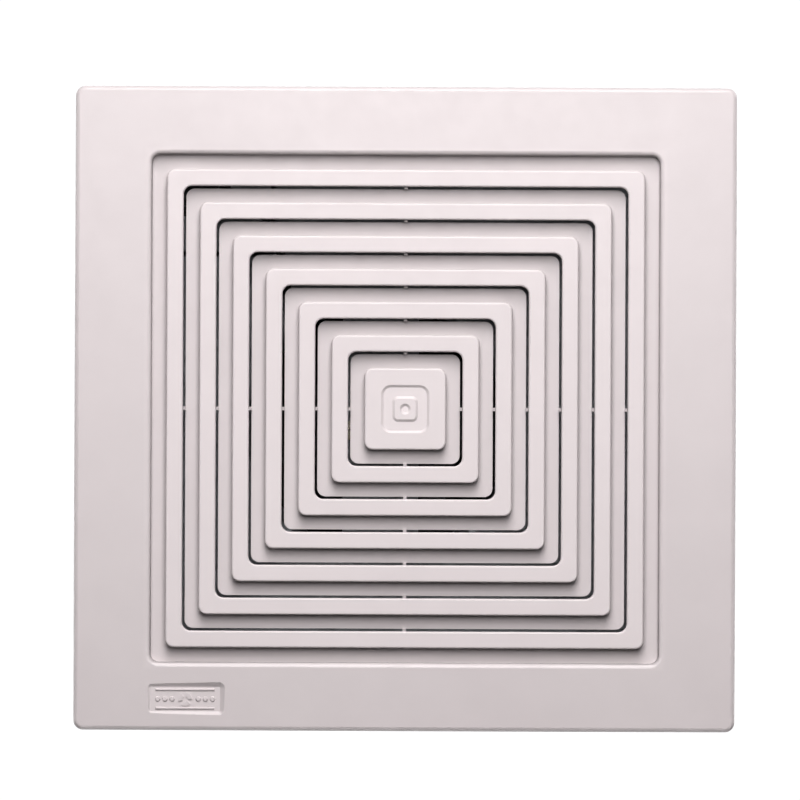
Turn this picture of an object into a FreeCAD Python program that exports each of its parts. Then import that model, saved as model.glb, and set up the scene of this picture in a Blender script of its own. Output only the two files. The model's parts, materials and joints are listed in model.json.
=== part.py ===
import FreeCAD, Part
import math
import os

import Sketcher
from FreeCAD import Placement, Rotation, Vector

# Bathroom extractor fan: a square louvred grille over a steel housing with a centrifugal blower.
# Millimetres. +Z is up, +X is to the right and +Y goes into the wall, so the grille faces -Y.
# The origin is the middle of the wall opening, on the wall's face.

doc = FreeCAD.newDocument("extractor_fan")
sheet = doc.addObject("Spreadsheet::Sheet", "sizes")


# ---------------------------------------------------------------- driving sizes

class Size:
    """A number that also knows its expression on the sheet, so that arithmetic keeps both."""

    def __init__(self, text, number):
        self.text = text
        self.number = number

    def __add__(self, other):
        other = as_size(other)
        return Size(f"({self.text} + {other.text})", self.number + other.number)

    def __sub__(self, other):
        other = as_size(other)
        return Size(f"({self.text} - {other.text})", self.number - other.number)

    def __mul__(self, other):
        other = as_size(other)
        return Size(f"({self.text} * {other.text})", self.number * other.number)

    def __truediv__(self, other):
        other = as_size(other)
        return Size(f"({self.text} / {other.text})", self.number / other.number)

    def __radd__(self, other):
        return as_size(other) + self

    def __rsub__(self, other):
        return as_size(other) - self

    def __rmul__(self, other):
        return as_size(other) * self

    def __neg__(self):
        return Size(f"(0 - {self.text})", -self.number)


def as_size(value):
    return value if isinstance(value, Size) else Size(f"({value})", float(value))


def cell(alias, number, note):
    """One driving dimension: its note in column A and its number, with an alias, in column B."""
    cell.row += 1
    sheet.set(f"A{cell.row}", note)
    sheet.set(f"B{cell.row}", str(number))
    sheet.setAlias(f"B{cell.row}", alias)
    return Size(f"sizes.{alias}", float(number))


cell.row = 0

# Grille
grille_width = cell("grille_width", 241.3, "grille, left to right")
grille_height = cell("grille_height", 235.0, "grille, bottom to top")
grille_depth = cell("grille_depth", 13.0, "wall face to the frame's front, at the recess")
grille_corner = cell("grille_corner", 3.6, "radius of the grille's four corners")
crown_radius = cell("crown_radius", 4500, "radius of the frame's slightly domed front")
grille_wall = cell("grille_wall", 2.2, "thickness of the frame's front and skirt")
frame_edge = cell("frame_edge", 1.6, "rounding of the frame's outer edge")
recess_half = cell("recess_half", 92.6, "half the side of the square recess")
recess_edge = cell("recess_edge", 1.6, "rounding of the recess's rim")
louvre_front = cell("louvre_front", 12.7, "wall face to the louvres' flat tops")
flange_front = cell("flange_front", 7.6, "wall face to the louvres' low flanges")
centre_half = cell("centre_half", 14.9, "half the side of the centre square")
louvre_pitch = cell("louvre_pitch", 12.05, "from one louvre to the next")
louvre_flat = cell("louvre_flat", 6.15, "width of a louvre's flat top")
LOUVRES = 6
slot_show = cell("slot_show", 0.8, "gap that shows between a flat top and the next low flange")
louvre_wall = cell("louvre_wall", 1.6, "thickness of the louvres")
louvre_corner = cell("louvre_corner", 3.1, "corner radius of the louvres and of the recess")
louvre_edge = cell("louvre_edge", 0.7, "rounding of the louvres' front edges")
rib_width = cell("rib_width", 1.3, "width of the cross ribs that carry the louvres")
rib_back = cell("rib_back", 1.5, "wall face to the back of the cross ribs")
rib_reach = cell("rib_reach", 90, "middle of the grille to the ends of the cross ribs")
tray_half = cell("tray_half", 8.8, "half the side of the tray sunk into the centre square")
boss_half = cell("boss_half", 4.7, "half the side of the boss in the tray, at its foot")
dimple_radius = cell("dimple_radius", 2.0, "dimple in the boss")
relief_depth = cell("relief_depth", 0.6, "depth of the tray and of the dimple, and height of the boss")
relief_slope = cell("relief_slope", 57, "slope of the walls of the reliefs, in degrees")
badge_x = cell("badge_x", -79.8, "middle of the badge panel")
badge_z = cell("badge_z", -106.1, "middle of the badge panel")
badge_width = cell("badge_width", 25.5, "floor of the badge panel, left to right")
badge_height = cell("badge_height", 9.0, "floor of the badge panel, bottom to top")
badge_floor = cell("badge_floor", 11.2, "wall face to the badge panel's floor")
relief_height = cell("relief_height", 0.5, "height of the badge's sign, dots and lines")

# Housing, from the wall's face backwards
sheet_metal = cell("sheet_metal", 0.8, "thickness of the housing, the motor plate and the wiring cover")
housing_width = cell("housing_width", 209.6, "housing, left to right")
housing_height = cell("housing_height", 203.2, "housing, bottom to top")
housing_depth = cell("housing_depth", 95.2, "housing, wall face to back")
plate_front = cell("plate_front", 25.6, "wall face to the front of the motor plate")
plate_flange = cell("plate_flange", 11, "depth of the motor plate's folded flanges")
wiring_right = cell("wiring_right", -50, "right side of the wiring corner")
wiring_bottom = cell("wiring_bottom", 58, "bottom of the wiring corner")
conduit_radius = cell("conduit_radius", 11.1, "cable hole in the top of the housing")
conduit_x = cell("conduit_x", -77, "middle of the cable hole")
conduit_y = cell("conduit_y", 62, "middle of the cable hole")

# Blower
wheel_x = cell("wheel_x", -9, "wheel axis")
wheel_z = cell("wheel_z", -8, "wheel axis")
wheel_radius = cell("wheel_radius", 62, "outside radius of the blower wheel")
wheel_front = cell("wheel_front", 32, "front of the blower wheel")
wheel_back = cell("wheel_back", 91, "back of the blower wheel")
blade_inner = cell("blade_inner", 50.5, "radius of the blades' inner edges")
BLADES = 36
inlet_radius = cell("inlet_radius", 46.2, "throat of the bell-mouth inlet")
shaft_radius = cell("shaft_radius", 2.38, "motor shaft")
stack_front = cell("stack_front", 31, "front of the stator stack")
stack_back = cell("stack_back", 51, "back of the stator stack")
bore_radius = cell("bore_radius", 13.4, "bore of the stator")
rotor_radius = cell("rotor_radius", 13.0, "rotor")
scroll_sheet = cell("scroll_sheet", 0.7, "thickness of the scroll band")
scroll_x = cell("scroll_x", -10.5, "centre of the scroll's first arc")
scroll_z = cell("scroll_z", -11, "centre of the scroll's first arc")
scroll_first = cell("scroll_first", 72, "radius of the scroll's first arc")
scroll_second = cell("scroll_second", 82, "radius of the scroll's second arc")
scroll_third = cell("scroll_third", 87, "radius of the scroll's third arc")
tongue_x = cell("tongue_x", 2, "inner wall of the scroll's outlet")

# Duct connector and damper
duct_x = cell("duct_x", 47, "duct axis")
duct_z = cell("duct_z", 62, "duct axis")
collar_radius = cell("collar_radius", 37.8, "outside radius of the collar")
collar_wall = cell("collar_wall", 1.5, "thickness of the collar")
collar_length = cell("collar_length", 40, "length of the collar")
connector_plate = cell("connector_plate", 2, "thickness of the connector's plate")
flap_radius = cell("flap_radius", 34.3, "radius of the damper flap")
damper_rise = cell("damper_rise", 12, "damper pin above the duct's axis")
pin_radius = cell("pin_radius", 1.2, "damper hinge pin")

# Grille springs
spring_x = cell("spring_x", 97, "middle of the spring coils, left and right of the origin")
spring_y = cell("spring_y", -1.4, "axis of the spring coils")
spring_radius = cell("spring_radius", 3.5, "mean radius of the spring coils")
spring_wire = cell("spring_wire", 0.75, "radius of the spring wire")
spring_angle = cell("spring_angle", 20, "spring legs from the horizontal, in degrees")
spring_leg = cell("spring_leg", 80, "length of a spring leg")
leg_spread = cell("leg_spread", 2.5, "legs to the middle of their coil")

# Screws
screw_radius = cell("screw_radius", 1.6, "screw shanks")
screw_head = cell("screw_head", 3.6, "radius of the screw heads")
screw_head_height = cell("screw_head_height", 1.9, "height of the screw heads")
screw_hole = screw_radius + 0.1

ORIGIN, START, END, CENTRE = -1, 1, 2, 3


# ---------------------------------------------------------------- sketches

def bind(thing, path, value):
    """Ties a property of an object to the sheet."""
    thing.setExpression(path, as_size(value).text)


def new_body(name):
    return doc.addObject("PartDesign::Body", name)


def new_sketch(body, role, offset=0):
    """A sketch on one of the body's origin planes, moved by offset along the plane's normal."""
    sketch = body.newObject("Sketcher::SketchObject", body.Name + "_sketch")
    plane = next(f for f in body.Origin.OriginFeatures if f.Role == role)
    sketch.AttachmentSupport = [(plane, "")]
    sketch.MapMode = "FlatFace"
    bind(sketch, "AttachmentOffset.Base.z", offset)
    return sketch


def place(sketch, datums, geometry, point, x, y):
    """Fixes a point of a sketch by its distances from the sketch's origin."""
    for kind, level, value in (("DistanceX", "Vertical", x), ("DistanceY", "Horizontal", y)):
        value = as_size(value)
        if abs(value.number) < 1e-9:
            sketch.addConstraint(Sketcher.Constraint(level, ORIGIN, START, geometry, point))
        else:
            datums.append((kind, (ORIGIN, START, geometry, point), value))


def add_datums(sketch, datums):
    """Adds the dimensions of a sketch, each tied to the sheet."""
    first = sketch.ConstraintCount
    made = [Sketcher.Constraint(kind, *where, value.number) for kind, where, value in datums]
    sketch.addConstraint(made)
    for index, (_, _, value) in enumerate(datums):
        bind(sketch, f"Constraints[{first + index}]", value)


def edge_datums(left, right, bottom, top):
    """The four sides of a rectangle, as (kind, number of its geometry, value)."""
    return (("DistanceX", left), ("DistanceX", right), ("DistanceY", bottom), ("DistanceY", top))


def rectangle(sketch, left, right, bottom, top):
    left, right, bottom, top = (as_size(v) for v in (left, right, bottom, top))
    corners = [
        Vector(left.number, bottom.number, 0),
        Vector(right.number, bottom.number, 0),
        Vector(right.number, top.number, 0),
        Vector(left.number, top.number, 0),
    ]
    sides = [Part.LineSegment(corners[k], corners[(k + 1) % 4]) for k in range(4)]
    n = sketch.addGeometry(sides, False)
    rules = [Sketcher.Constraint("Coincident", n[k], END, n[(k + 1) % 4], START) for k in range(4)]
    rules += [Sketcher.Constraint("Horizontal", n[k]) for k in (0, 2)]
    rules += [Sketcher.Constraint("Vertical", n[k]) for k in (1, 3)]
    sketch.addConstraint(rules)
    where = ((n[3], START), (n[1], START), (n[0], START), (n[2], START))
    kinds = edge_datums(left, right, bottom, top)
    add_datums(sketch, [(k, (ORIGIN, START, *w), v) for (k, v), w in zip(kinds, where)])


def rounded_rectangle(sketch, left, right, bottom, top, radius):
    left, right, bottom, top, radius = (as_size(v) for v in (left, right, bottom, top, radius))
    x0, x1, y0, y1, r = left.number, right.number, bottom.number, top.number, radius.number

    def corner(x, y, quarter):
        circle_ = Part.Circle(Vector(x, y, 0), Vector(0, 0, 1), r)
        return Part.ArcOfCircle(circle_, (quarter - 1) * math.pi / 2, quarter * math.pi / 2)

    n = sketch.addGeometry([
        Part.LineSegment(Vector(x0 + r, y0, 0), Vector(x1 - r, y0, 0)),
        corner(x1 - r, y0 + r, 0),
        Part.LineSegment(Vector(x1, y0 + r, 0), Vector(x1, y1 - r, 0)),
        corner(x1 - r, y1 - r, 1),
        Part.LineSegment(Vector(x1 - r, y1, 0), Vector(x0 + r, y1, 0)),
        corner(x0 + r, y1 - r, 2),
        Part.LineSegment(Vector(x0, y1 - r, 0), Vector(x0, y0 + r, 0)),
        corner(x0 + r, y0 + r, 3),
    ], False)
    rules = [Sketcher.Constraint("Tangent", n[k], END, n[(k + 1) % 8], START) for k in range(8)]
    rules += [Sketcher.Constraint("Horizontal", n[k]) for k in (0, 4)]
    rules += [Sketcher.Constraint("Vertical", n[k]) for k in (2, 6)]
    rules += [Sketcher.Constraint("Equal", n[k], n[k + 2]) for k in (1, 3, 5)]
    sketch.addConstraint(rules)
    where = ((n[6], START), (n[2], START), (n[0], START), (n[4], START))
    kinds = edge_datums(left, right, bottom, top)
    datums = [(k, (ORIGIN, START, *w), v) for (k, v), w in zip(kinds, where)]
    add_datums(sketch, datums + [("Radius", (n[1],), radius)])


def rounded_square(sketch, half, radius):
    rounded_rectangle(sketch, -half, half, -half, half, radius)


def circle(sketch, x, y, radius):
    x, y, radius = as_size(x), as_size(y), as_size(radius)
    shape = Part.Circle(Vector(x.number, y.number, 0), Vector(0, 0, 1), radius.number)
    n = sketch.addGeometry(shape, False)
    datums = [("Radius", (n,), radius)]
    place(sketch, datums, n, CENTRE, x, y)
    add_datums(sketch, datums)


def polygon(sketch, points):
    """A closed outline of straight sides through points, each a pair of sizes."""
    points = [(as_size(x), as_size(y)) for x, y in points]
    corners = [Vector(x.number, y.number, 0) for x, y in points]
    count = len(corners)
    sides = [Part.LineSegment(corners[k], corners[(k + 1) % count]) for k in range(count)]
    n = sketch.addGeometry(sides, False)
    following = [n[(k + 1) % count] for k in range(count)]
    sketch.addConstraint(
        [Sketcher.Constraint("Coincident", n[k], END, following[k], START) for k in range(count)])
    datums = []
    for k, (x, y) in enumerate(points):
        place(sketch, datums, n[k], START, x, y)
    add_datums(sketch, datums)


def sector(sketch, x, y, inner, outer, start, end):
    """Part of a ring: the area between two arcs about one centre, from start to end degrees."""
    x, y, inner, outer, start, end = (as_size(v) for v in (x, y, inner, outer, start, end))
    middle = Vector(x.number, y.number, 0)
    angles = [math.radians(start.number), math.radians(end.number)]
    arcs = [Part.ArcOfCircle(Part.Circle(middle, Vector(0, 0, 1), r.number), *angles)
            for r in (inner, outer)]
    spokes = [Part.LineSegment(arcs[0].value(a), arcs[1].value(a)) for a in angles]
    n = sketch.addGeometry(arcs + spokes, False)
    rules = [Sketcher.Constraint("Coincident", n[0], CENTRE, n[1], CENTRE)]
    for spoke, which in ((n[2], START), (n[3], END)):
        rules.append(Sketcher.Constraint("Coincident", spoke, START, n[0], which))
        rules.append(Sketcher.Constraint("Coincident", spoke, END, n[1], which))
        rules.append(Sketcher.Constraint("PointOnObject", n[0], CENTRE, spoke))
    sketch.addConstraint(rules)
    datums = [("Radius", (n[0],), inner), ("Radius", (n[1],), outer)]
    place(sketch, datums, n[0], CENTRE, x, y)
    add_datums(sketch, datums)
    for spoke, angle in ((n[2], start), (n[3], end)):
        turn = Sketcher.Constraint("Angle", spoke, math.radians(angle.number))
        index = sketch.addConstraint(turn)
        bind(sketch, f"Constraints[{index}]", angle)


# ---------------------------------------------------------------- features

def extrude(kind, body, sketch, length, reverse, spread):
    """A pad or a pocket; its outline grows by spread degrees on the way, or shrinks below zero."""
    feature = body.newObject(kind, body.Name + "_" + kind.split("::")[1].lower())
    feature.Profile = sketch
    feature.Reversed = reverse
    feature.Refine = False
    bind(feature, "Length", length)
    if as_size(spread).number:
        bind(feature, "TaperAngle", spread)
    return feature


def pad(body, sketch, length, reverse=False, spread=0):
    return extrude("PartDesign::Pad", body, sketch, length, reverse, spread)


def pocket(body, sketch, length, reverse=False, spread=0):
    return extrude("PartDesign::Pocket", body, sketch, length, reverse, spread)


def axis_of(body, role):
    return next(f for f in body.Origin.OriginFeatures if f.Role == role)


def revolve(kind, body, sketch, role):
    feature = body.newObject(kind, body.Name + "_" + kind.split("::")[1].lower())
    feature.Profile = sketch
    feature.ReferenceAxis = (axis_of(body, role), [""])
    feature.Angle = 360
    return feature


def fillet(body, base, radius, chosen):
    """Rounds the edges of base for which chosen(edge) is true."""
    doc.recompute()
    names = [f"Edge{k + 1}" for k, edge in enumerate(base.Shape.Edges) if chosen(edge)]
    feature = body.newObject("PartDesign::Fillet", body.Name + "_fillet")
    feature.Base = (base, names)
    bind(feature, "Radius", radius)
    return feature


def reach(edge, name):
    """Lowest and highest coordinate of an edge, and whichever is further from zero."""
    low, high = (getattr(edge.BoundBox, name + side) for side in ("Min", "Max"))
    return low, high, max(abs(low), abs(high))


# ---------------------------------------------------------------- simple solids

TURNS = {
    "X": Rotation(Vector(0, 1, 0), 90),
    "Y": Rotation(Vector(1, 0, 0), -90),
    "Z": Rotation(),
}


def solid(kind, position, turn=None, **dimensions):
    """A Part primitive with its sizes and its position tied to the sheet."""
    thing = doc.addObject(kind, kind.split("::")[1])
    thing.Placement = Placement(Vector(), turn or Rotation())
    for name, value in dimensions.items():
        bind(thing, name, value)
    for name, value in zip("xyz", position):
        bind(thing, f"Placement.Base.{name}", value)
    return thing


def block(x, y, z):
    """A box between two coordinates, lower first, along each axis."""
    x, y, z = ([as_size(v) for v in pair] for pair in (x, y, z))
    return solid("Part::Box", (x[0], y[0], z[0]), Length=x[1] - x[0], Width=y[1] - y[0],
                 Height=z[1] - z[0])


def rod(along, position, radius, length):
    return solid("Part::Cylinder", position, TURNS[along], Radius=radius, Height=length)


def joined(*things):
    whole = doc.addObject("Part::MultiFuse", "joined")
    whole.Shapes = list(things)
    return whole


def cut(base, *tools):
    piece = doc.addObject("Part::Cut", "cut")
    piece.Base = base
    piece.Tool = tools[0] if len(tools) == 1 else joined(*tools)
    return piece


def together(*things):
    """Several separate solids as one object."""
    whole = doc.addObject("Part::Compound", "together")
    whole.Links = list(things)
    return whole


def tube(along, position, outer, inner, length):
    return cut(rod(along, position, outer, length), rod(along, position, inner, length))


def screw(along, sense, position, length):
    """A pan-head screw with its head's underside at position, driven along an axis."""
    at = [as_size(v) for v in position]
    index = "XYZ".index(along)
    back = screw_head_height if sense > 0 else as_size(0)
    head_at, shank_at = list(at), list(at)
    head_at[index] = at[index] - back
    shank_at[index] = at[index] - (as_size(0) if sense > 0 else as_size(length))
    head = rod(along, head_at, screw_head, screw_head_height)
    shank = rod(along, shank_at, screw_radius, length)
    low, high = (0.0, 0.9) if sense > 0 else (1.0, 1.9)
    slots = []
    for wide, narrow in ((2.4, 0.45), (0.45, 2.4)):
        spans = iter([(-wide, wide), (-narrow, narrow)])
        box = []
        for k in range(3):
            if k == index:
                box.append((head_at[k] + low, head_at[k] + high))
            else:
                near, far = next(spans)
                box.append((at[k] + near, at[k] + far))
        slots.append(block(*box))
    return cut(joined(head, shank), *slots)


nodes = []


def keep(thing, label, x=0, y=0, z=0):
    """Names a finished piece and puts it where it belongs in the fan."""
    thing.Label = label
    for name, value in (("x", x), ("y", y), ("z", z)):
        if as_size(value).number:
            bind(thing, f"Placement.Base.{name}", value)
    nodes.append(thing)
    return thing


# ---------------------------------------------------------------- positions shared by the parts

scroll_right = scroll_x + scroll_second - scroll_first + scroll_third
connector_screws = [(duct_x + sx * 34, duct_z + sz * 33) for sx in (-1, 1) for sz in (-1, 1)]
collar_foot = housing_depth + connector_plate
damper_y, damper_z = collar_foot + 6.5, duct_z + damper_rise
plate_screws = [as_size(-30), as_size(60)]
bracket_screw_y, bracket_screw_z = as_size(18), [as_size(-32), as_size(32)]
bracket_hole_z, bracket_half, bracket_hole = [as_size(-60), as_size(60)], as_size(72), as_size(2.6)
bead_height = as_size(0.7)
ground_x, ground_z = as_size(-92), as_size(70)
wiring_screw = (as_size(-58), as_size(92))
socket_x, socket_z = as_size(-78), as_size(80)
bridge_front, bridge_reach, bridge_half, stud_x = (as_size(v) for v in (14, 57, 14, 10.5))
motor_screw_x, shading_x = as_size(19), as_size(17.5)
leg_x, post_inner, post_outer = (leg_spread + v for v in (1.85, 3.0, 4.4))


# ---------------------------------------------------------------- grille

def louvre_outer(k):
    """Half the side of louvre k, counted from the centre square, which is 0."""
    return centre_half + k * louvre_pitch


def louvre_inner(k):
    return louvre_outer(k) - louvre_flat


def valley_end(k):
    """Half the side of the valley around louvre k, at its outer edge."""
    return louvre_inner(k + 1) - slot_show if k < LOUVRES else recess_half


def at_front(body, front):
    """A sketch facing the room, at this distance in front of the wall."""
    return new_sketch(body, "XZ_Plane", front)


def square_ring(make, body, front, depth, inner, inner_radius, outer, outer_radius):
    """Pads, or pockets, a square ring forward from a plane this far in front of the wall."""
    sketch = at_front(body, front)
    rounded_square(sketch, inner, inner_radius)
    rounded_square(sketch, outer, outer_radius)
    return make(body, sketch, depth, reverse=make is pocket)


def grille_cover():
    """One moulding: a domed frame, a square recess, and louvres of Z section on cross ribs."""
    body = new_body("grille_cover")
    half_width, half_height = grille_width / 2, grille_height / 2

    frame = at_front(body, 0)
    rounded_rectangle(frame, -half_width, half_width, -half_height, half_height, grille_corner)
    rounded_square(frame, recess_half, louvre_corner)
    pad(body, frame, grille_depth + 1)

    # The frame's front belongs to a large sphere, grille_depth high where it meets the recess.
    crown = new_sketch(body, "XY_Plane")
    reach_out, above = 175.0, 3.0
    r, edge = crown_radius.number, recess_half.number
    top = grille_depth.number + edge ** 2 / (2 * r)
    ball = Part.Circle(Vector(0, r - top, 0), Vector(0, 0, 1), r)
    side = math.asin(reach_out / r)
    ends = [Vector(0, -top, 0), Vector(reach_out, r - top - r * math.cos(side), 0)]
    arc = Part.ArcOfCircle(ball, -math.pi / 2, -math.pi / 2 + side)
    n = crown.addGeometry([
        arc,
        Part.LineSegment(ends[1], Vector(reach_out, -top - above, 0)),
        Part.LineSegment(Vector(reach_out, -top - above, 0), Vector(0, -top - above, 0)),
        Part.LineSegment(Vector(0, -top - above, 0), ends[0]),
    ], False)
    crown.addConstraint([
        Sketcher.Constraint("Coincident", n[0], END, n[1], START),
        Sketcher.Constraint("Coincident", n[1], END, n[2], START),
        Sketcher.Constraint("Coincident", n[2], END, n[3], START),
        Sketcher.Constraint("Coincident", n[3], END, n[0], START),
        Sketcher.Constraint("Vertical", n[1]),
        Sketcher.Constraint("Vertical", n[3]),
        Sketcher.Constraint("Horizontal", n[2]),
        Sketcher.Constraint("Vertical", ORIGIN, START, n[0], CENTRE),
        Sketcher.Constraint("Vertical", ORIGIN, START, n[0], START),
    ])
    dome = grille_depth + recess_half * recess_half / (2 * crown_radius)
    add_datums(crown, [
        ("Radius", (n[0],), crown_radius),
        ("DistanceY", (ORIGIN, START, n[0], START), -dome),
        ("DistanceX", (ORIGIN, START, n[1], START), as_size(reach_out)),
        ("DistanceY", (ORIGIN, START, n[2], START), -dome - above),
    ])
    domed = revolve("PartDesign::Groove", body, crown, "Y_Axis")

    def outer_edge(edge_):
        low, high, _ = reach(edge_, "Y")
        far = max(reach(edge_, "X")[2] - half_width.number, reach(edge_, "Z")[2] - half_height.number)
        return high < -5 and high - low < 3 and abs(far) < 0.01

    def recess_rim(edge_):
        low, high, _ = reach(edge_, "Y")
        far = max(reach(edge_, "X")[2], reach(edge_, "Z")[2])
        return high < -5 and high - low < 3 and abs(far - recess_half.number) < 0.01

    rounded = fillet(body, domed, frame_edge, outer_edge)
    fillet(body, rounded, recess_edge, recess_rim)

    # Hollow behind: first everything inside the skirt, then the frame's underside.
    flange_back, top_back = flange_front - louvre_wall, louvre_front - louvre_wall
    inside = at_front(body, 0)
    skirt = [-half_width + grille_wall, half_width - grille_wall,
             -half_height + grille_wall, half_height - grille_wall]
    rounded_rectangle(inside, *skirt, grille_corner - grille_wall)
    pocket(body, inside, flange_back, reverse=True)
    under = at_front(body, flange_back)
    rounded_rectangle(under, *skirt, grille_corner - grille_wall)
    rounded_square(under, recess_half + louvre_wall, louvre_corner)
    pocket(body, under, grille_depth - grille_wall - flange_back - 0.4, reverse=True)

    # Cross ribs behind the louvres, then the valleys cut out of them in front of the low flanges.
    half_rib = rib_width / 2
    ribs = at_front(body, rib_back)
    polygon(ribs, [
        (-rib_reach, -half_rib), (-half_rib, -half_rib), (-half_rib, -rib_reach),
        (half_rib, -rib_reach), (half_rib, -half_rib), (rib_reach, -half_rib),
        (rib_reach, half_rib), (half_rib, half_rib), (half_rib, rib_reach),
        (-half_rib, rib_reach), (-half_rib, half_rib), (-rib_reach, half_rib)])
    pad(body, ribs, top_back - rib_back)
    for k in range(LOUVRES + 1):
        square_ring(pocket, body, flange_front, grille_depth, louvre_outer(k), louvre_corner,
                    valley_end(k), louvre_corner)

    # Each louvre is a flat top, a wall behind its outer edge and a low flange outward from that.
    # The last flange runs into the frame.
    step_corner = louvre_corner - louvre_wall
    for k in range(LOUVRES + 1):
        step = louvre_outer(k) - louvre_wall
        flange_end = valley_end(k) + (0 if k < LOUVRES else louvre_wall / 2)
        square_ring(pad, body, flange_back, louvre_wall, step, step_corner, flange_end,
                    louvre_corner)
        square_ring(pad, body, flange_back, top_back - flange_back, step, step_corner,
                    louvre_outer(k), louvre_corner)
        if k:
            flat_tops = square_ring(pad, body, top_back, louvre_wall, louvre_inner(k),
                                    louvre_corner, louvre_outer(k), louvre_corner)
        else:
            middle = at_front(body, top_back)
            rounded_square(middle, louvre_outer(0), louvre_corner)
            pad(body, middle, louvre_wall)

    def louvre_rim(edge_):
        low, high, _ = reach(edge_, "Y")
        return high - low < 0.01 and abs(low + louvre_front.number) < 0.01

    fillet(body, flat_tops, louvre_edge, louvre_rim)
    centre_relief(body)
    badge_relief(body)
    spring_posts(body)
    return keep(body, "grille_cover")


def centre_relief(body):
    """A shallow square tray in the centre square, with a dimpled square boss in its middle."""
    tray = at_front(body, louvre_front)
    rounded_square(tray, tray_half, louvre_corner + 0.6)
    pocket(body, tray, relief_depth, spread=-relief_slope)
    boss = at_front(body, louvre_front - relief_depth)
    rounded_square(boss, boss_half, louvre_corner - 0.9)
    pad(body, boss, relief_depth, spread=-relief_slope)
    dimple = at_front(body, louvre_front)
    circle(dimple, 0, 0, dimple_radius)
    pocket(body, dimple, relief_depth, spread=-relief_slope)


def badge_relief(body):
    """A shallow panel in the frame's corner: a rotor sign and dots between two ruled lines."""
    x, z, half_width, half_height = badge_x, badge_z, badge_width / 2, badge_height / 2
    panel = at_front(body, badge_floor)
    rounded_rectangle(panel, x - half_width, x + half_width, z - half_height, z + half_height, 0.5)
    pocket(body, panel, relief_depth * 3, reverse=True, spread=relief_slope)
    sign = at_front(body, badge_floor - 0.02)
    for start in (0, 120, 240):
        sector(sign, x, z, 1.0, 2.5, start, start + 80)
    pad(body, sign, relief_height)
    line_half, line_rise, line_width, dot_radius = 10.9, 3.4, 1.1, 1.05
    marks = at_front(body, badge_floor - 0.02)
    for side in (-1, 1):
        for away in (4.8, 7.4, 10.0):
            circle(marks, x + side * away, z, dot_radius)
        low = z + side * line_rise - line_width / 2
        rectangle(marks, x - line_half, x + line_half, low, low + line_width)
    pad(body, marks, relief_height, spread=-40)


def spring_posts(body):
    """Two lugs and a peg behind each side of the frame, to carry the spring coils."""
    for side in (-1, 1):
        for sense in (-1, 1):
            low = side * spring_x + (post_inner if sense > 0 else -post_outer)
            front = -11 if side == sense else -7.4
            lug = new_sketch(body, "YZ_Plane", low)
            rectangle(lug, front, 1.4, -3.4, 3.4)
            pad(body, lug, post_outer - post_inner)
        peg = new_sketch(body, "YZ_Plane", side * spring_x - post_inner - 0.1)
        circle(peg, spring_y, 0, 2.2)
        pad(body, peg, post_inner * 2 + 0.2)


# ---------------------------------------------------------------- housing

def housing_wrap():
    """Left side, bottom and right side, folded from one strip."""
    body = new_body("housing_wrap")
    x, z, t = housing_width / 2, housing_height / 2, sheet_metal
    profile = at_front(body, -housing_depth)
    polygon(profile, [(-x, z), (-x, -z), (x, -z), (x, z), (x - t, z), (x - t, t - z),
                      (t - x, t - z), (t - x, z)])
    pad(body, profile, housing_depth)
    sides = new_sketch(body, "YZ_Plane", x + 5)
    for z_ in bracket_screw_z:
        circle(sides, bracket_screw_y, z_, screw_hole)
    for z_ in bracket_hole_z:
        circle(sides, bracket_screw_y, z_, bracket_hole)
    pocket(body, sides, housing_width + 10)
    bottom = new_sketch(body, "XY_Plane", -z - 2)
    for x_ in plate_screws:
        circle(bottom, x_, plate_front - plate_flange / 2, screw_hole)
    pocket(body, bottom, 5, reverse=True)
    for low in (x, -x - bead_height):
        beads = new_sketch(body, "YZ_Plane", low)
        for z_ in (-62, 0, 62):
            rounded_rectangle(beads, 44, 86, z_ - 3, as_size(z_) + 3, 2.9)
        pad(body, beads, bead_height)
    marks = new_sketch(body, "YZ_Plane", -x)
    circle(marks, 68, 33, conduit_radius)
    circle(marks, 68, 33, conduit_radius - 0.7)
    pocket(body, marks, sheet_metal / 2, reverse=True)
    return keep(body, "housing_wrap")


def housing_top():
    body = new_body("housing_top")
    x, z = housing_width / 2 - sheet_metal, housing_height / 2
    top = new_sketch(body, "XY_Plane", z - sheet_metal)
    rectangle(top, -x, x, 0, housing_depth)
    circle(top, conduit_x, conduit_y, conduit_radius)
    for x_ in plate_screws:
        circle(top, x_, plate_front - plate_flange / 2, screw_hole)
    pad(body, top, sheet_metal)
    beads = new_sketch(body, "XY_Plane", z)
    for x_ in (-30, 14, 58):
        rounded_rectangle(beads, x_ - 3, as_size(x_) + 3, 44, 86, 2.9)
    pad(body, beads, bead_height)
    return keep(body, "housing_top")


def housing_back():
    body = new_body("housing_back")
    x, z = housing_width / 2 - sheet_metal, housing_height / 2 - sheet_metal
    back = at_front(body, -housing_depth)
    rectangle(back, -x, x, -z, z)
    circle(back, ground_x, ground_z, screw_hole)
    circle(back, duct_x, duct_z, collar_radius - 1.8)
    for x_, z_ in connector_screws:
        circle(back, x_, z_, screw_hole)
    pad(body, back, sheet_metal)
    beads = at_front(body, -housing_depth - bead_height)
    for z_ in (-78, -52, -26):
        rounded_rectangle(beads, -84, 84, z_ - 3.5, as_size(z_) + 3.5, 3.4)
    for z_ in (0, 26):
        rounded_rectangle(beads, -84, -22, z_ - 3.5, as_size(z_) + 3.5, 3.4)
    pad(body, beads, bead_height)
    return keep(body, "housing_back")


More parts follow.
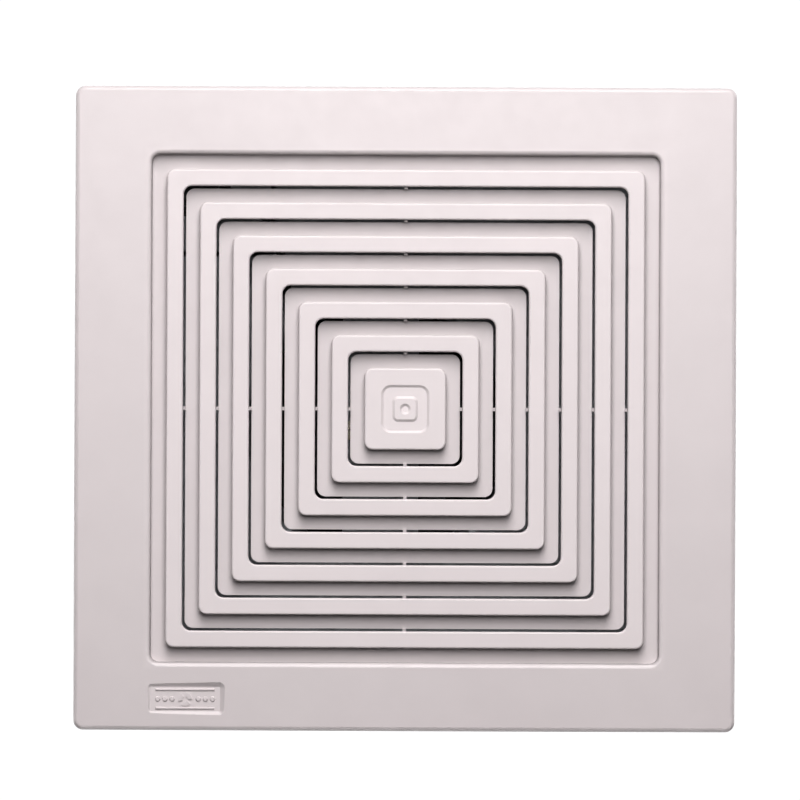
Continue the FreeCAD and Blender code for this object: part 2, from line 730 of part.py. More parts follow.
def mounting_bracket(side, label):
    """A flat plate on the housing's side, with two holes for the screws into a stud."""
    body = new_body(label)
    sketch = new_sketch(body, "YZ_Plane", side * (housing_width / 2 + (0 if side > 0 else 1.2)))
    rounded_rectangle(sketch, 2, 34, -bracket_half, bracket_half, 4)
    for z in bracket_screw_z:
        circle(sketch, bracket_screw_y, z, screw_hole)
    for z in bracket_hole_z:
        circle(sketch, bracket_screw_y, z, bracket_hole)
    pad(body, sketch, 1.2)
    return keep(body, label)


def bracket_screws():
    outer = housing_width / 2 + 1.2
    keep(together(*[screw("X", -side, (side * outer, bracket_screw_y, z), 3.2)
                    for side in (-1, 1) for z in bracket_screw_z]), "bracket_screws")


def scroll_band():
    """A spiral of three tangent arcs with a straight outlet, from tongue to outlet side."""
    body = new_body("scroll_band")
    depth = housing_depth - sheet_metal - plate_front - sheet_metal
    sketch = at_front(body, sheet_metal - housing_depth)
    top = housing_height / 2 - sheet_metal
    centres = [
        (scroll_x, scroll_z),
        (scroll_x + scroll_second - scroll_first, scroll_z),
        (scroll_x + scroll_second - scroll_first, scroll_z + scroll_third - scroll_second)]
    radii = (scroll_first, scroll_second, scroll_third)
    sides = []
    for grow in (as_size(0), scroll_sheet):
        wall_x = tongue_x - grow
        start = math.acos((wall_x - scroll_x).number / (scroll_first + grow).number)
        spans = [(start, math.pi), (math.pi, 1.5 * math.pi), (1.5 * math.pi, 2 * math.pi)]
        arcs = []
        for (x, z), radius, (a, b) in zip(centres, radii, spans):
            ring = Part.Circle(Vector(x.number, z.number, 0), Vector(0, 0, 1), (radius + grow).number)
            arcs.append(Part.ArcOfCircle(ring, a, b))
        tongue = Part.LineSegment(Vector(wall_x.number, top.number, 0), arcs[0].StartPoint)
        outlet = Part.LineSegment(arcs[2].EndPoint, Vector(arcs[2].EndPoint.x, top.number, 0))
        n = sketch.addGeometry([tongue, *arcs, outlet], False)
        sketch.addConstraint([
            Sketcher.Constraint("Vertical", n[0]),
            Sketcher.Constraint("Coincident", n[0], END, n[1], START),
            Sketcher.Constraint("Tangent", n[1], END, n[2], START),
            Sketcher.Constraint("Tangent", n[2], END, n[3], START),
            Sketcher.Constraint("Tangent", n[3], END, n[4], START),
            Sketcher.Constraint("Horizontal", n[1], CENTRE, n[2], CENTRE),
            Sketcher.Constraint("Vertical", n[2], CENTRE, n[3], CENTRE),
            Sketcher.Constraint("Vertical", n[4]),
        ])
        datums = [("Radius", (n[k + 1],), radii[k] + grow) for k in range(3)]
        place(sketch, datums, n[0], START, wall_x, top)
        place(sketch, datums, n[1], CENTRE, scroll_x, scroll_z)
        datums.append(("DistanceY", (ORIGIN, START, n[4], END), top))
        add_datums(sketch, datums)
        sides.append((n, sketch.Geometry))
    (inner, shapes), (outer, outer_shapes) = sides
    ends = sketch.addGeometry([
        Part.LineSegment(shapes[inner[0]].StartPoint, outer_shapes[outer[0]].StartPoint),
        Part.LineSegment(shapes[inner[4]].EndPoint, outer_shapes[outer[4]].EndPoint)], False)
    sketch.addConstraint([
        Sketcher.Constraint("Coincident", ends[0], START, inner[0], START),
        Sketcher.Constraint("Coincident", ends[0], END, outer[0], START),
        Sketcher.Constraint("Coincident", ends[1], START, inner[4], END),
        Sketcher.Constraint("Coincident", ends[1], END, outer[4], END)])
    pad(body, sketch, depth)
    return keep(body, "scroll_band")


def wiring_corner():
    """Cover of the corner where the supply cable is joined, with its socket and its screws."""
    left, top = sheet_metal - housing_width / 2, housing_height / 2 - sheet_metal
    front, back = plate_front + 1.4, housing_depth - sheet_metal
    face = cut(block((left, wiring_right), (front, front + sheet_metal), (wiring_bottom, top)),
               rod("Y", (wiring_screw[0], front - 1, wiring_screw[1]), screw_hole, 4),
               block((socket_x - 11, socket_x + 11), (front - 1, front + 3),
                     (socket_z - 7, socket_z + 7)))
    side = block((wiring_right - sheet_metal, wiring_right), (front, back), (wiring_bottom, top))
    floor = block((left, wiring_right), (front, back), (wiring_bottom, wiring_bottom + sheet_metal))
    keep(joined(face, side, floor), "wiring_box_cover")
    keep(screw("Y", 1, (wiring_screw[0], front, wiring_screw[1]), 6), "wiring_cover_screw")
    keep(screw("Y", 1, (ground_x, back, ground_z), 4), "ground_screw")
    shell = block((socket_x - 10.9, socket_x + 10.9), (front - 5, front + 12),
                  (socket_z - 6.9, socket_z + 6.9))
    rim = block((socket_x - 13, socket_x + 13), (front - 1.5, front), (socket_z - 9, socket_z + 9))
    blades = [block((socket_x + dx - 0.6, socket_x + dx + 0.6), (front - 6, front + 4),
                    (socket_z - 2.6, socket_z + 2.6)) for dx in (-4, 4)]
    keep(cut(joined(shell, rim), *blades), "receptacle")
    body = block((socket_x - 9, socket_x + 9), (front - 18, front - 5), (socket_z - 5.5, socket_z + 5.5))
    prongs = [block((socket_x + dx - 0.5, socket_x + dx + 0.5), (front - 6, front + 3.5),
                    (socket_z - 2.5, socket_z + 2.5)) for dx in (-4, 4)]
    keep(joined(body, *prongs), "motor_plug")
    high = housing_height / 2
    keep(joined(tube("Z", (conduit_x, conduit_y, high - 6), conduit_radius - 0.1, 8.6, 10),
                tube("Z", (conduit_x, conduit_y, high), conduit_radius + 2.6, 8.6, 2.4)),
         "conduit_bushing")


# ---------------------------------------------------------------- blower

def motor_plate():
    """Plate with the bell-mouth inlet; drawn about the wheel's axis."""
    body = new_body("motor_plate")
    half_width, half_height = housing_width / 2 - sheet_metal - 0.4, housing_height / 2 - sheet_metal - 0.2
    left, right = -half_width - wheel_x, half_width - wheel_x
    bottom, top = -half_height - wheel_z, half_height - wheel_z
    notch_x, notch_z = wiring_right + 2 - wheel_x, wiring_bottom - 2 - wheel_z
    back = plate_front + sheet_metal
    plate = at_front(body, -back)
    polygon(plate, [(left, bottom), (right, bottom), (right, top), (notch_x, top),
                    (notch_x, notch_z), (left, notch_z)])
    circle(plate, 0, 0, inlet_radius + 6)
    for sense in (-1, 1):
        circle(plate, 0, sense * bridge_reach, screw_hole)
        for side in (-1, 1):
            x, z = side * spring_x - wheel_x, sense * as_size(14.5) - wheel_z
            rectangle(plate, x - 5.2, x + 5.2, z - 4.2, z + 4.2)
    pad(body, plate, sheet_metal)
    flanges = at_front(body, -back)
    rectangle(flanges, left, right, bottom, bottom + sheet_metal)
    rectangle(flanges, notch_x, right, top - sheet_metal, top)
    pad(body, flanges, sheet_metal + plate_flange)
    holes = new_sketch(body, "XY_Plane", top + 2)
    for x in plate_screws:
        circle(holes, x - wheel_x, plate_front - plate_flange / 2, screw_hole)
    pocket(body, holes, housing_height + 5)
    lip = new_sketch(body, "XY_Plane")
    r, y = inlet_radius, plate_front
    polygon(lip, [(r + 6.6, y), (r + 6.6, y + 0.8), (r + 4, y + 1.1), (r + 2.2, y + 2.4),
                  (r + 1.1, y + 4.6), (r + 0.8, y + 7.2), (r, y + 7.2), (r + 0.3, y + 4.4),
                  (r + 1.4, y + 1.9), (r + 3.4, y + 0.4), (r + 5.2, y)])
    revolve("PartDesign::Revolution", body, lip, "Y_Axis")
    keep(body, "motor_plate", wheel_x, 0, wheel_z)
    edge = half_height - sheet_metal
    keep(together(*[screw("Z", sense, (x, plate_front - plate_flange / 2, sense * edge), 3.4)
                    for x in plate_screws for sense in (-1, 1)]), "motor_plate_screws")


def motor_mount():
    """A hat-shaped bridge across the inlet, on rubber, with its screws."""
    body = new_body("motor_bracket")
    foot = plate_front - 3.2
    y0, thick, reach_, knee, rise = bridge_front, 1.2, bridge_reach + 7, bridge_reach - 8, 12
    sketch = new_sketch(body, "YZ_Plane", -bridge_half)
    outline = [(foot - thick, reach_), (foot - thick, knee), (y0, knee - rise)]
    inner = [(y0 + thick, knee - rise - 1), (foot, knee - 1.2), (foot, reach_)]
    polygon(sketch, outline + [(y, -z) for y, z in reversed(outline)]
            + [(y, -z) for y, z in reversed(inner)] + inner)
    pad(body, sketch, bridge_half * 2)
    holes = at_front(body, 0)
    for sense in (-1, 1):
        circle(holes, 0, sense * bridge_reach, screw_hole)
        circle(holes, sense * stud_x, 0, screw_hole)
    pocket(body, holes, 40)
    keep(body, "motor_bracket", wheel_x, 0, wheel_z)
    heads = [(wheel_x, foot - thick, wheel_z + sense * bridge_reach) for sense in (-1, 1)]
    keep(together(*[screw("Y", 1, at, 9) for at in heads]), "motor_bracket_screws")
    keep(together(*[tube("Y", (x, foot, z), 6.2, screw_hole, 3.2) for x, _, z in heads]),
         "rubber_grommets")
    studs = [(wheel_x + sense * stud_x, wheel_z) for sense in (-1, 1)]
    space = stack_front - 7.6 - bridge_front - thick
    keep(together(*[tube("Y", (x, bridge_front + thick, z), 2.9, screw_hole, space) for x, z in studs]),
         "motor_spacers")
    keep(together(*[screw("Y", 1, (x, bridge_front, z), 11) for x, z in studs]), "spacer_screws")


def motor():
    """Shaded-pole motor: C-shaped stack, coil on its lower limb, rotor on the wheel's axis."""
    length = stack_back - stack_front
    core = new_body("stator_core")
    outline = at_front(core, -stack_back)
    rounded_rectangle(outline, -24, 24, -33, 18, 2)
    rectangle(outline, -14.5, 14.5, -26, -15.5)
    circle(outline, 0, 0, bore_radius)
    for side in (-1, 1):
        x = side * shading_x
        circle(outline, side * motor_screw_x, 0, screw_hole)
        rectangle(outline, x - 1.2, x + 1.2, 11.6, 13.5)
    pad(core, outline, length)
    keep(core, "stator_core", wheel_x, 0, wheel_z)

    def at(*spans):
        """Turns spans about the wheel's axis into spans about the origin."""
        return [[base + v for v in pair] for base, pair in zip((wheel_x, 0, wheel_z), spans)]

    y0, y1 = stack_front, stack_back
    limb = block(*at((-14.2, 14.2), (y0 - 0.2, y1 + 0.2), (-33.1, -25.9)))
    sleeve = block(*at((-14, 14), (y0 - 1.4, y1 + 1.4), (-34.3, -24.7)))
    cheeks = [block(*at((x - 0.6, x + 0.6), (y0 - 6, y1 + 6), (-38.6, -16.2))) for x in (-13.3, 13.3)]
    keep(cut(joined(sleeve, *cheeks), limb), "coil_bobbin")
    winding = block(*at((-12.6, 12.6), (y0 - 5.6, y1 + 5.6), (-38.2, -20.6)))
    core_gap = block(*at((-13, 13), (y0 - 1.5, y1 + 1.5), (-34.4, -24.6)))
    keep(cut(winding, core_gap), "coil_winding")
    rings = []
    for side in (-1, 1):
        x = side * shading_x
        loop = block(*at((x - 1, x + 1), (y0 - 1.4, y1 + 1.4), (11.8, 19.8)))
        rings.append(cut(loop, block(*at((x - 2, x + 2), (y0 - 0.1, y1 + 0.1), (13.4, 18.1)))))
    keep(together(*rings), "shading_rings")

    bushes = []
    for label, y in (("bearing_bracket_front", y0 - 7.6), ("bearing_bracket_rear", y1 + 6.0)):
        bar = block(*at((-23, 23), (y, y + 1.6), (-9, 9)))
        front = label.endswith("front")
        legs = [block(*at((x - 4, x + 4), (y if front else y1, y0 if front else y + 1.6), (-7, 7)))
                for x in (-19, 19)]
        drilled = (-motor_screw_x, -stud_x, stud_x, motor_screw_x)
        holes = [rod("Y", (wheel_x + x, y - 9, wheel_z), screw_hole, 24) for x in drilled]
        seat = rod("Y", (wheel_x, y - 3, wheel_z), 6.1, 8)
        keep(cut(joined(bar, *legs), *holes, seat), label)
        cup = 0.2 if front else -2.2
        bushes.append(tube("Y", (wheel_x, y + cup - 0.6, wheel_z), 6, shaft_radius + 0.03, 4.4))
    keep(together(*bushes), "bearing_bushes")
    keep(together(*[screw("Y", 1, (wheel_x + x, y0 - 7.6, wheel_z), 34) for x in (-19, 19)]),
         "motor_screws")
    keep(cut(rod("Y", (wheel_x, y0 - 0.6, wheel_z), rotor_radius, length + 1.2),
             rod("Y", (wheel_x, y0 - 2, wheel_z), shaft_radius + 0.02, length + 4)), "rotor")
    keep(rod("Y", (wheel_x, y0 - 9, wheel_z), shaft_radius, 64), "motor_shaft")
    keep(together(*[tube("Y", (wheel_x, y, wheel_z), 4.5, shaft_radius + 0.02, 0.6)
                    for y in (y0 - 1.5, y1 + 1.0)]), "thrust_washers")


def blower_wheel():
    """Forward-curved wheel, drawn about its axis; it turns anticlockwise as seen from the room."""
    body = new_body("blower_wheel")
    back, rim = wheel_back, wheel_radius
    disc = new_sketch(body, "XY_Plane")
    bore = shaft_radius + 0.02
    polygon(disc, [(bore, back - 23), (8, back - 23), (8.6, back - 9), (20, back - 5),
                   (36, back - 2.2), (rim, back - 1.4), (rim, back), (34, back - 0.6),
                   (18, back - 2.8), (bore, back - 5)])
    revolve("PartDesign::Revolution", body, disc, "Y_Axis")
    ring = at_front(body, -wheel_front - 2.4)
    circle(ring, 0, 0, rim)
    circle(ring, 0, 0, rim - 2.6)
    blade = at_front(body, 1 - back)
    middle = [(blade_inner, 0.0), (blade_inner + 3, 1.3), (blade_inner + 6, 3.9),
              (blade_inner + 8.7, 7.6), (blade_inner + 11.1, 12.0)]
    sides = []
    for turn in (-0.45, 0.45):
        sides.append([(r * math.cos(math.radians(a + turn)), r * math.sin(math.radians(a + turn)))
                      for r, a in middle])
    polygon(blade, sides[0] + sides[1][::-1])
    vane = pad(body, blade, back - 1 - wheel_front - 1)
    vanes = body.newObject("PartDesign::PolarPattern", "vanes")
    vanes.Originals = [vane]
    vanes.Axis = (axis_of(body, "Y_Axis"), [""])
    vanes.Angle = 360
    vanes.Occurrences = BLADES
    vanes.Refine = False
    body.Tip = vanes
    pad(body, ring, 2.4)
    keep(body, "blower_wheel", wheel_x, 0, wheel_z)
    keep(tube("Y", (wheel_x, back - 26.2, wheel_z), 6.4, shaft_radius + 0.02, 3.0), "wheel_clip")


# ---------------------------------------------------------------- duct connector and damper

def duct_connector():
    """Plate and round collar behind the housing, with half a seat on each side of the flap."""
    body = new_body("duct_connector")
    plate = at_front(body, -collar_foot)
    rounded_rectangle(plate, -44, 43, -39, 38.4, 5)
    circle(plate, 0, 0, collar_radius - collar_wall)
    for x, z in connector_screws:
        circle(plate, x - duct_x, z - duct_z, screw_hole)
    pad(body, plate, connector_plate)
    end = collar_foot + collar_length
    collar = at_front(body, -end)
    circle(collar, 0, 0, collar_radius)
    circle(collar, 0, 0, collar_radius - collar_wall)
    pad(body, collar, collar_length + connector_plate)
    for bead, height in ((8, 0.9), (collar_length - 5, 0.9)):
        ring = at_front(body, -collar_foot - bead)
        circle(ring, 0, 0, collar_radius - 0.2)
        circle(ring, 0, 0, collar_radius - collar_wall - height)
        pad(body, ring, 1.2)
    lower = at_front(body, -damper_y + 1.4)
    sector(lower, 0, 0, collar_radius - 4.6, collar_radius - 0.2, 196, 344)
    pad(body, lower, 1.2)
    upper = at_front(body, -damper_y - 2.2)
    sector(upper, 0, 0, collar_radius - 4.6, collar_radius - 0.2, 36, 144)
    pad(body, upper, 1.2)
    pin = new_sketch(body, "YZ_Plane", -50)
    circle(pin, damper_y, damper_rise, pin_radius + 0.02)
    pocket(body, pin, 100, reverse=True)
    keep(body, "duct_connector", duct_x, 0, duct_z)
    keep(together(*[screw("Y", -1, (x, collar_foot, z), 4.2) for x, z in connector_screws]),
         "duct_connector_screws")
    seal = new_body("seal")
    felt = at_front(seal, -damper_y + 0.7)
    sector(felt, 0, 0, collar_radius - 4.8, collar_radius - collar_wall - 0.1, 197, 343)
    pad(seal, felt, 0.7)
    keep(seal, "damper_seal", duct_x, 0, duct_z)
    reach_ = collar_radius - 2.8
    keep(rod("X", (duct_x - reach_, damper_y, damper_z), pin_radius, reach_ * 2), "damper_hinge_pin")
    disc = rod("Y", (duct_x, damper_y - 0.6, duct_z), flap_radius, 1.2)
    barrel = rod("X", (duct_x - 31, damper_y, damper_z), pin_radius + 1.3, 62)
    ribs = [block((duct_x + x - 0.6, duct_x + x + 0.6), (damper_y, damper_y + 2.0),
                  (duct_z - 24, damper_z)) for x in (-16, 0, 16)]
    hole = rod("X", (duct_x - 40, damper_y, damper_z), pin_radius + 0.05, 80)
    keep(cut(joined(disc, barrel, *ribs), hole), "damper_flap")


# ---------------------------------------------------------------- grille springs

def springs():
    """Two torsion springs, each a coil on the grille's post and two legs through the plate."""
    for side, name in ((-1, "left"), (1, "right")):
        coil = new_body(f"spring_coil_{name}")
        wire = new_sketch(coil, "XY_Plane")
        circle(wire, -leg_spread, spring_radius, spring_wire)
        helix = coil.newObject("PartDesign::AdditiveHelix", coil.Name + "_helix")
        helix.Profile = wire
        helix.ReferenceAxis = (axis_of(coil, "X_Axis"), [""])
        helix.Mode = "pitch-height-angle"
        bind(helix, "Pitch", leg_spread * 0.9)
        bind(helix, "Height", leg_spread * 2)
        keep(coil, f"spring_coil_{name}", side * spring_x, spring_y, 0)
        for sense, which in ((1, "upper"), (-1, "lower")):
            x = side * spring_x + sense * leg_x
            turn = Rotation(Vector(1, 0, 0), -(90 - sense * spring_angle.number))
            along = turn.multVec(Vector(0, 0, 1))
            across = Vector(0, -along.z, along.y) * sense
            root = [spring_y + across.y * spring_radius, across.z * spring_radius]
            tip = [root[0] + along.y * spring_leg, root[1] + along.z * spring_leg]
            leg = solid("Part::Cylinder", (x, *root), turn, Radius=spring_wire, Height=spring_leg)
            turns = solid("Part::Torus", (x, spring_y, 0), TURNS["X"], Radius1=spring_radius,
                          Radius2=spring_wire + 0.04)
            corner = solid("Part::Sphere", (x, *tip), Radius=spring_wire)
            hook = solid("Part::Cylinder", (x, *tip), Rotation(Vector(1, 0, 0), 90 - sense * 90),
                         Radius=spring_wire, Height=6)
            keep(joined(leg, turns, corner, hook), f"spring_leg_{name}_{which}")


def motor_lead():
    """Round lead from the plug, behind the bridge, to the coil."""
    points = [(-68.8, 15.5, 80), (-58, 15.2, 77), (-47, 16.5, 60), (-43, 18.5, 30), (-41.5, 19, 0),
              (-36, 19.5, -24), (-27.5, 20, -36), (-20.5, 21.5, -38.5), (-16.5, 25.2, -38.5)]
    curve = Part.BSplineCurve()
    curve.interpolate([Vector(*p) for p in points])
    spine = Part.Wire([curve.toShape()])
    start, heading = curve.getD1(curve.FirstParameter)
    ring = Part.Wire([Part.makeCircle(1.6, start, heading)])
    lead = doc.addObject("Part::Feature", "lead")
    lead.Shape = spine.makePipeShell([ring], True, True)
    keep(lead, "motor_lead")


# ---------------------------------------------------------------- checks and files

def write_parts(folder="parts"):
    doc.recompute()
    failed = [o.Name for o in doc.Objects if "Invalid" in o.State or "Error" in o.State]
    if failed:
        raise RuntimeError(f"objects that failed: {failed}")
    for node in nodes:
        if node.Shape.isNull() or not node.Shape.isValid():
            raise RuntimeError(f"{node.Label} has no valid shape")
    os.makedirs(folder, exist_ok=True)
    for node in nodes:
        node.Shape.exportStep(os.path.join(folder, node.Label + ".step"))
        print(f"{node.Label:28s} solids {len(node.Shape.Solids):2d}  volume {node.Shape.Volume:10.1f}")


grille_cover()
housing_wrap()
housing_top()
housing_back()
for side, label in ((-1, "mounting_bracket_left"), (1, "mounting_bracket_right")):
    mounting_bracket(side, label)
bracket_screws()
scroll_band()
wiring_corner()
motor_plate()
motor_mount()
motor()
blower_wheel()
duct_connector()
springs()
motor_lead()
write_parts()
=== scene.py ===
import json
import math

import bpy
from mathutils import Matrix, Vector

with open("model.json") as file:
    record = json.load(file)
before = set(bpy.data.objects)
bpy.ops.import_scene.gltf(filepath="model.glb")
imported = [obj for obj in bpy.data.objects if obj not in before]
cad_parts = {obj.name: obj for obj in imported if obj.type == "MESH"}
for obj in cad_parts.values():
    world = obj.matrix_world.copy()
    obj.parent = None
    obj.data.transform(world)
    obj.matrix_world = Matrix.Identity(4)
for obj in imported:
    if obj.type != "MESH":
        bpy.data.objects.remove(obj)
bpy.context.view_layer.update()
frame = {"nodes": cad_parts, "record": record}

scene = bpy.context.scene


# ---------------------------------------------------------------- camera

LENS_MM = 300.0
SENSOR_MM = 36.0
VIEW_WIDTH = 0.2916          # what the frame's width takes in at the grille's front, in metres
GRILLE_FRONT_Y = -0.0128
CAMERA_X, CAMERA_Z = -0.0019, 0.0033
CAMERA_ROLL = math.radians(0.25)


def make_camera():
    data = bpy.data.cameras.new("camera")
    data.lens = LENS_MM
    data.sensor_width = SENSOR_MM
    data.clip_start, data.clip_end = 0.05, 50.0
    camera = bpy.data.objects.new("camera", data)
    scene.collection.objects.link(camera)
    distance = VIEW_WIDTH * LENS_MM / SENSOR_MM
    camera.matrix_world = (
        Matrix.Translation((CAMERA_X, GRILLE_FRONT_Y - distance, CAMERA_Z))
        @ Matrix.Rotation(math.radians(90), 4, "X")
        @ Matrix.Rotation(CAMERA_ROLL, 4, "Z"))
    scene.camera = camera


# ---------------------------------------------------------------- node helpers

class Surface:
    """A Principled material whose colour, roughness and bump are built up from noise."""

    def __init__(self, name, colour, roughness, metallic=0.0, **sockets):
        self.material = bpy.data.materials.new(name)
        self.material.use_nodes = True
        self.tree = self.material.node_tree
        self.shader = self.tree.nodes["Principled BSDF"]
        self.base = (*colour, 1.0)
        self.shader.inputs["Base Color"].default_value = self.base
        self.shader.inputs["Roughness"].default_value = roughness
        self.shader.inputs["Metallic"].default_value = metallic
        for socket, value in sockets.items():
            self.shader.inputs[socket.replace("_", " ")].default_value = value
        self.place = self.add("ShaderNodeTexCoord").outputs["Object"]
        self.colour = self.roughness = self.normal = None

    def add(self, kind, **values):
        node = self.tree.nodes.new(kind)
        for name, value in values.items():
            setattr(node, name, value)
        return node

    def link(self, source, target):
        self.tree.links.new(source, target)

    def feed_colour(self, socket):
        """Passes on the colour made so far, which is plain until something has changed it."""
        if self.colour:
            self.link(self.colour, socket)
        else:
            socket.default_value = self.base[:len(socket.default_value)]

    def noise(self, scale, detail=3.0, roughness=0.55, stretch=(1, 1, 1)):
        mapping = self.add("ShaderNodeMapping")
        mapping.inputs["Scale"].default_value = stretch
        self.link(self.place, mapping.inputs["Vector"])
        node = self.add("ShaderNodeTexNoise")
        node.inputs["Scale"].default_value = scale
        node.inputs["Detail"].default_value = detail
        node.inputs["Roughness"].default_value = roughness
        self.link(mapping.outputs["Vector"], node.inputs["Vector"])
        return node.outputs["Fac"]

    def cells(self, scale, output="Color"):
        node = self.add("ShaderNodeTexVoronoi")
        node.inputs["Scale"].default_value = scale
        self.link(self.place, node.inputs["Vector"])
        return node.outputs[output]

    def bands(self, scale, axis, distortion=0.0):
        node = self.add("ShaderNodeTexWave", wave_type="BANDS", bands_direction=axis,
                        wave_profile="SIN")
        node.inputs["Scale"].default_value = scale
        node.inputs["Distortion"].default_value = distortion
        self.link(self.place, node.inputs["Vector"])
        return node.outputs["Fac"]

    def along(self, axis):
        """The object's own X, Y or Z coordinate, in metres."""
        node = self.add("ShaderNodeSeparateXYZ")
        self.link(self.place, node.inputs[0])
        return node.outputs[axis]

    def from_middle(self):
        """The larger of the distances from the middle, left or right and up or down."""
        parts = []
        for axis in "XZ":
            node = self.add("ShaderNodeMath", operation="ABSOLUTE")
            self.link(self.along(axis), node.inputs[0])
            parts.append(node.outputs[0])
        node = self.add("ShaderNodeMath", operation="MAXIMUM")
        for part, socket in zip(parts, node.inputs):
            self.link(part, socket)
        return node.outputs[0]

    def depth_in_recess(self):
        """The Y coordinate inside the grille's recess, and in front of everything outside it."""
        outside = self.ranged(self.from_middle(), 0.0, 0.2,
                              RECESS_HALF + 0.0004, RECESS_HALF + 0.0014)
        node = self.add("ShaderNodeMath", operation="SUBTRACT")
        self.link(self.along("Y"), node.inputs[0])
        self.link(outside, node.inputs[1])
        return node.outputs[0]

    def ranged(self, source, low, high, start=0.3, end=0.7):
        node = self.add("ShaderNodeMapRange")
        for socket, value in (("From Min", start), ("From Max", end),
                              ("To Min", low), ("To Max", high)):
            node.inputs[socket].default_value = value
        self.link(source, node.inputs["Value"])
        return node.outputs["Result"]

    def tint(self, source, colour, most=1.0, start=0.35, end=0.7):
        """Mixes in another colour where source is high."""
        node = self.add("ShaderNodeMix", data_type="RGBA")
        self.link(self.ranged(source, 0.0, most, start, end), node.inputs["Factor"])
        self.feed_colour(node.inputs["A"])
        node.inputs["B"].default_value = (*colour, 1.0)
        self.colour = node.outputs["Result"]
        return self

    def shade(self, source, low, high, start=0.3, end=0.7):
        """Multiplies the colour by a number between low and high."""
        node = self.add("ShaderNodeVectorMath", operation="SCALE")
        self.feed_colour(node.inputs[0])
        self.link(self.ranged(source, low, high, start, end), node.inputs["Scale"])
        self.colour = node.outputs["Vector"]
        return self

    def rough(self, source, low, high, start=0.3, end=0.7):
        self.roughness = self.ranged(source, low, high, start, end)
        return self

    def bump(self, source, distance, strength=1.0):
        node = self.add("ShaderNodeBump")
        node.inputs["Distance"].default_value = distance
        node.inputs["Strength"].default_value = strength
        self.link(source, node.inputs["Height"])
        if self.normal:
            self.link(self.normal, node.inputs["Normal"])
        self.normal = node.outputs["Normal"]
        return self

    def done(self):
        for made, socket in ((self.colour, "Base Color"), (self.roughness, "Roughness"),
                             (self.normal, "Normal")):
            if made:
                self.link(made, self.shader.inputs[socket])
        return self.material


# ---------------------------------------------------------------- materials

RECESS_HALF, LOUVRE_TOP_Y, VALLEY_Y = 0.0926, -0.0127, -0.0076
FRAME_PAINTED_SHADE, WALL_PAINTED_SHADE, VALLEY_PAINTED_SHADE = 0.93, 0.5, 0.87       # painted shade, as factors against the louvres' flat tops


def white_plastic():
    """Moulded plastic with painted shade: a little darker on the frame and in the valleys,
    and darkest on the louvres' side walls, where the light barely reaches."""
    s = Surface("white_plastic", (0.76, 0.712, 0.716), 0.42, IOR=1.5)
    s.tint(s.noise(9, 2), (0.78, 0.735, 0.737), 0.6)
    # painted shade: the frame around the recess is made darker than the louvres' tops, as its sloping
    # face would look under the key light
    s.shade(s.from_middle(), 1.0, FRAME_PAINTED_SHADE, RECESS_HALF - 0.001, RECESS_HALF + 0.003)
    # painted shade: the louvres' side walls are darkened, and the valley floors less so, in place of
    # occlusion shadow and weak bounce light
    depth = s.depth_in_recess()
    s.shade(depth, 1.0, WALL_PAINTED_SHADE, LOUVRE_TOP_Y + 0.0006, LOUVRE_TOP_Y + 0.0022)
    s.shade(depth, 1.0, VALLEY_PAINTED_SHADE / WALL_PAINTED_SHADE, VALLEY_Y - 0.0006, VALLEY_Y - 0.0001)
    s.shade(s.noise(60, 4), 0.985, 1.01)
    s.rough(s.noise(220, 3), 0.36, 0.47)
    s.bump(s.noise(2600, 2), 0.00003, 0.25)
    return s.done()


def zinc_sheet():
    s = Surface("zinc_sheet", (0.45, 0.47, 0.49), 0.4, metallic=1.0)
    grain = s.cells(130, "Color")
    s.tint(grain, (0.58, 0.60, 0.62), 0.6, 0.2, 0.9)
    s.shade(s.noise(14, 4), 0.88, 1.05)
    s.shade(s.noise(700, 2), 0.96, 1.03)
    s.rough(grain, 0.36, 0.48, 0.1, 0.9)
    s.bump(s.cells(130, "Distance"), 0.00005, 0.2)
    s.bump(s.noise(900, 3), 0.00003, 0.4)
    return s.done()


def plated(name, colour, tint, roughness=0.32):
    s = Surface(name, colour, roughness, metallic=1.0)
    s.tint(s.noise(160, 3), tint, 0.7)
    s.rough(s.noise(500, 3), roughness - 0.08, roughness + 0.1)
    s.bump(s.noise(1500, 2), 0.00002, 0.5)
    return s.done()


def drawn_wire():
    s = Surface("spring_steel", (0.36, 0.37, 0.39), 0.3, metallic=1.0)
    s.shade(s.noise(300, 3, stretch=(1, 0.1, 0.3)), 0.8, 1.15)
    s.rough(s.noise(900, 2), 0.22, 0.42)
    s.bump(s.noise(2500, 2, stretch=(1, 0.1, 0.3)), 0.00002, 0.5)
    return s.done()


def laminations():
    s = Surface("silicon_steel", (0.10, 0.105, 0.12), 0.5, metallic=0.8)
    plates = s.bands(320, "Y", 0.2)
    s.shade(plates, 0.45, 1.2, 0.0, 0.6)
    s.tint(s.noise(120, 4), (0.16, 0.12, 0.09), 0.5)
    s.rough(s.noise(400, 3), 0.38, 0.6)
    s.bump(plates, 0.00012, 0.6)
    return s.done()


def winding():
    s = Surface("enamel_wire", (0.36, 0.10, 0.035), 0.3, metallic=0.4, Coat_Weight=0.5)
    turns = s.bands(420, "X", 0.6)
    s.shade(turns, 0.5, 1.15, 0.1, 0.8)
    s.tint(s.noise(90, 3), (0.50, 0.20, 0.07), 0.5)
    s.bump(turns, 0.0002, 0.7)
    return s.done()


def plastic(name, colour, second, roughness=0.5, grain=1400, bump=0.00004):
    s = Surface(name, colour, roughness)
    s.tint(s.noise(35, 3), second, 0.7)
    s.rough(s.noise(260, 3), roughness - 0.08, roughness + 0.08)
    s.bump(s.noise(grain, 2), bump, 0.4)
    return s.done()


def soft(name, colour, second, roughness=0.75):
    s = Surface(name, colour, roughness)
    s.tint(s.noise(180, 4), second, 0.8)
    s.rough(s.noise(400, 2), roughness - 0.1, roughness + 0.1)
    s.bump(s.noise(900, 4), 0.00012, 0.6)
    return s.done()


def cast_metal(name, colour):
    s = Surface(name, colour, 0.45, metallic=0.9)
    s.shade(s.noise(120, 4), 0.8, 1.08)
    s.rough(s.noise(500, 3), 0.36, 0.6)
    s.bump(s.noise(1300, 4), 0.00006, 0.6)
    return s.done()


